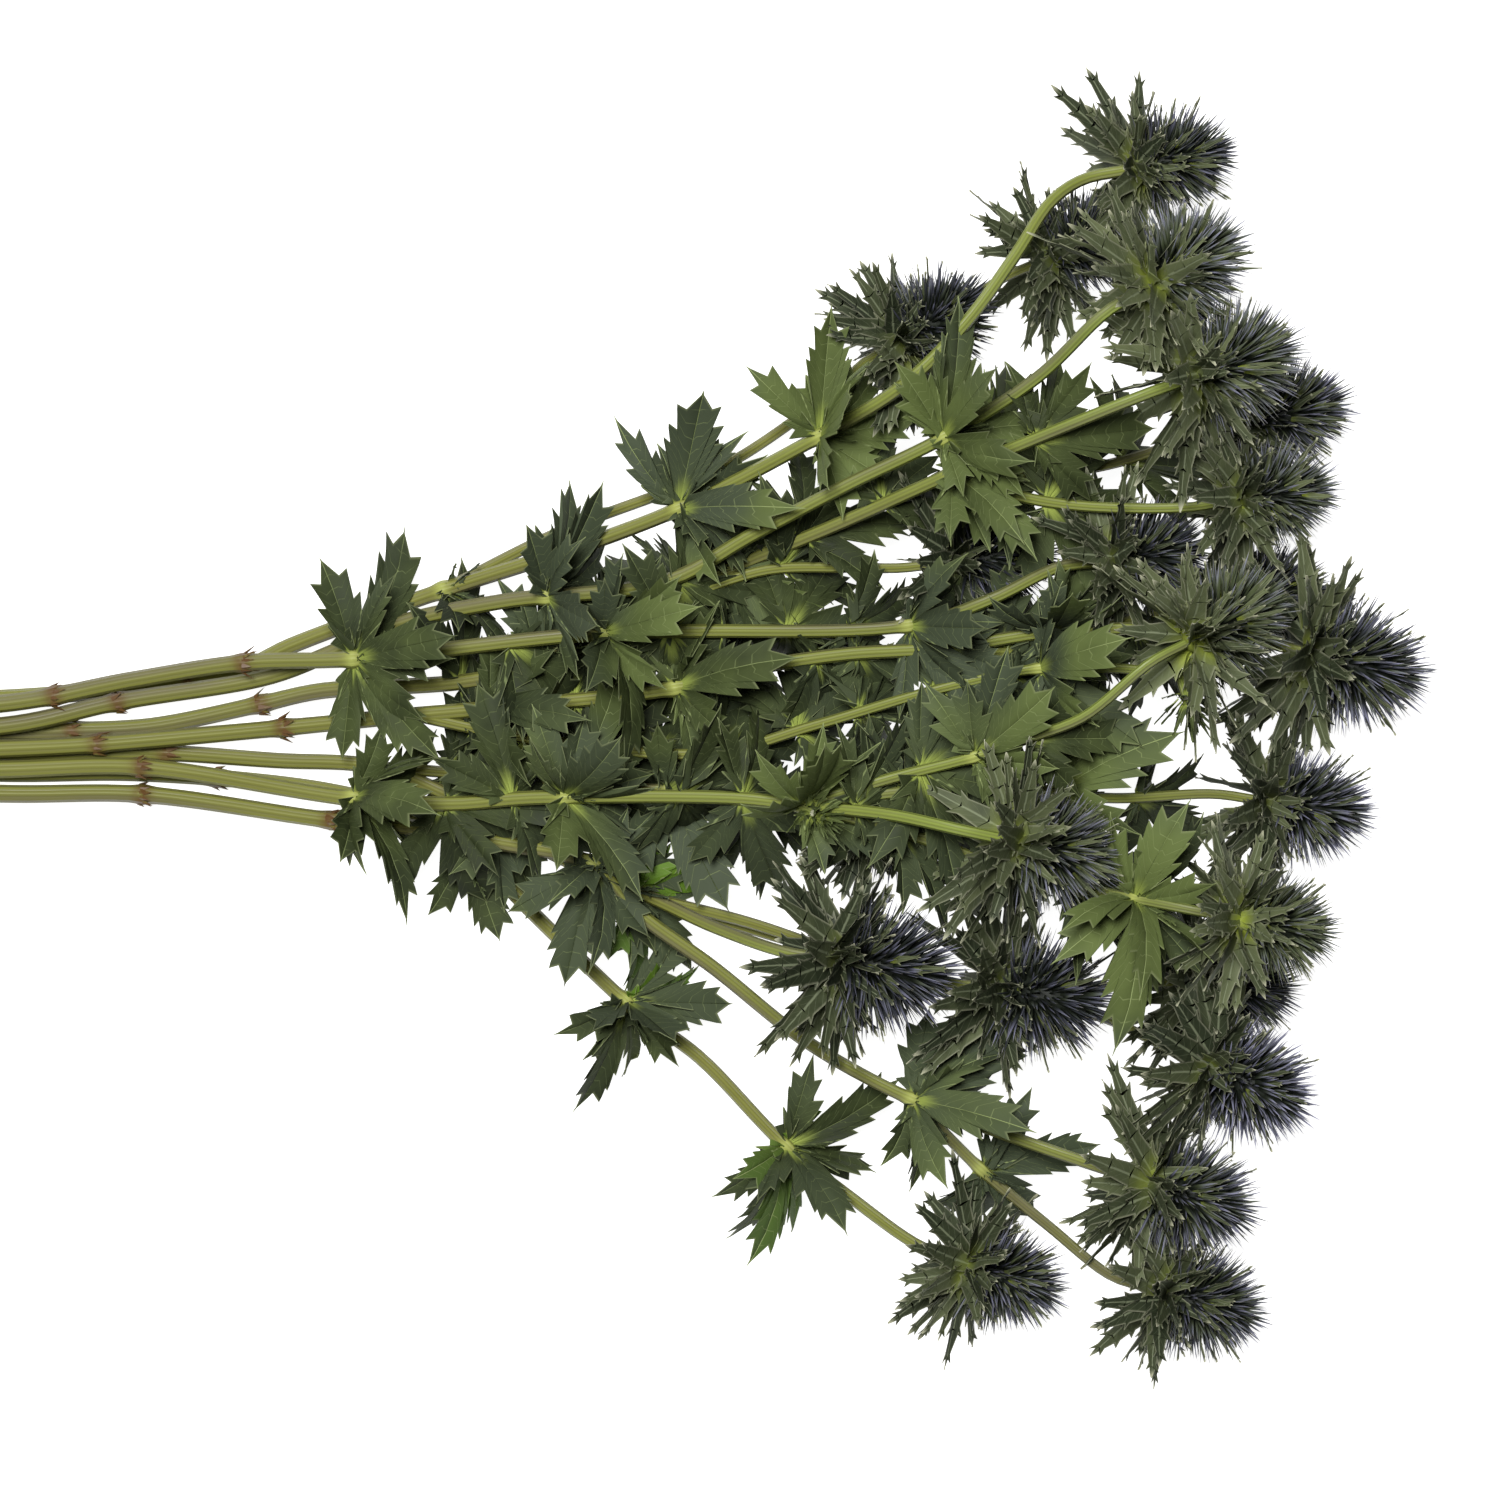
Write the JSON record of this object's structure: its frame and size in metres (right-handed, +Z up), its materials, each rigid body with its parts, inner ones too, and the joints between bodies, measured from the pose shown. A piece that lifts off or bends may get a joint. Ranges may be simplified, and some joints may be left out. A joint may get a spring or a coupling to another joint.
{
  "type": "bunch of cut sea holly",
  "caption": "Bunch of cut sea holly lying flat, with branching leafy stems held by an elastic band and fanned out to spiny blue-green flower heads.",
  "frame": {"origin": "on the table under the middle of the bunch", "axes": "+X along the bunch from the cut ends to the flower heads, +Y to the left of that, +Z up"},
  "size_m": [0.6328, 0.4396, 0.118],
  "materials": {
    "stem_and_leaf": "satin, ribbed green stems and leathery leaves with pale veins",
    "flower_cone": "matte steel blue spines with green bases",
    "bract_ruff": "satin grey-green with pale spiny edges",
    "elastic_band": "matte natural rubber"
  },
  "bodies": {
    "root": {"elastic_band": "elastic_band", "leafy_stem_1": "stem_and_leaf", "leafy_stem_2": "stem_and_leaf", "leafy_stem_3": "stem_and_leaf", "leafy_stem_4": "stem_and_leaf", "leafy_stem_5": "stem_and_leaf", "leafy_stem_6": "stem_and_leaf", "leafy_stem_7": "stem_and_leaf", "leafy_stem_8": "stem_and_leaf", "leafy_stem_9": "stem_and_leaf", "flower_cone_01": "flower_cone", "flower_cone_02": "flower_cone", "flower_cone_03": "flower_cone", "flower_cone_04": "flower_cone", "flower_cone_05": "flower_cone", "flower_cone_06": "flower_cone", "flower_cone_07": "flower_cone", "flower_cone_08": "flower_cone", "flower_cone_09": "flower_cone", "flower_cone_10": "flower_cone", "flower_cone_11": "flower_cone", "flower_cone_12": "flower_cone", "flower_cone_13": "flower_cone", "flower_cone_14": "flower_cone", "flower_cone_15": "flower_cone", "flower_cone_16": "flower_cone", "flower_cone_17": "flower_cone", "flower_cone_18": "flower_cone", "flower_cone_19": "flower_cone", "flower_cone_20": "flower_cone", "flower_cone_21": "flower_cone", "flower_cone_22": "flower_cone", "flower_cone_23": "flower_cone", "bract_ruff_01": "bract_ruff", "bract_ruff_02": "bract_ruff", "bract_ruff_03": "bract_ruff", "bract_ruff_04": "bract_ruff", "bract_ruff_05": "bract_ruff", "bract_ruff_06": "bract_ruff", "bract_ruff_07": "bract_ruff", "bract_ruff_08": "bract_ruff", "bract_ruff_09": "bract_ruff", "bract_ruff_10": "bract_ruff", "bract_ruff_11": "bract_ruff", "bract_ruff_12": "bract_ruff", "bract_ruff_13": "bract_ruff", "bract_ruff_14": "bract_ruff", "bract_ruff_15": "bract_ruff", "bract_ruff_16": "bract_ruff", "bract_ruff_17": "bract_ruff", "bract_ruff_18": "bract_ruff", "bract_ruff_19": "bract_ruff", "bract_ruff_20": "bract_ruff", "bract_ruff_21": "bract_ruff", "bract_ruff_22": "bract_ruff", "bract_ruff_23": "bract_ruff"}
  },
  "joints": []
}
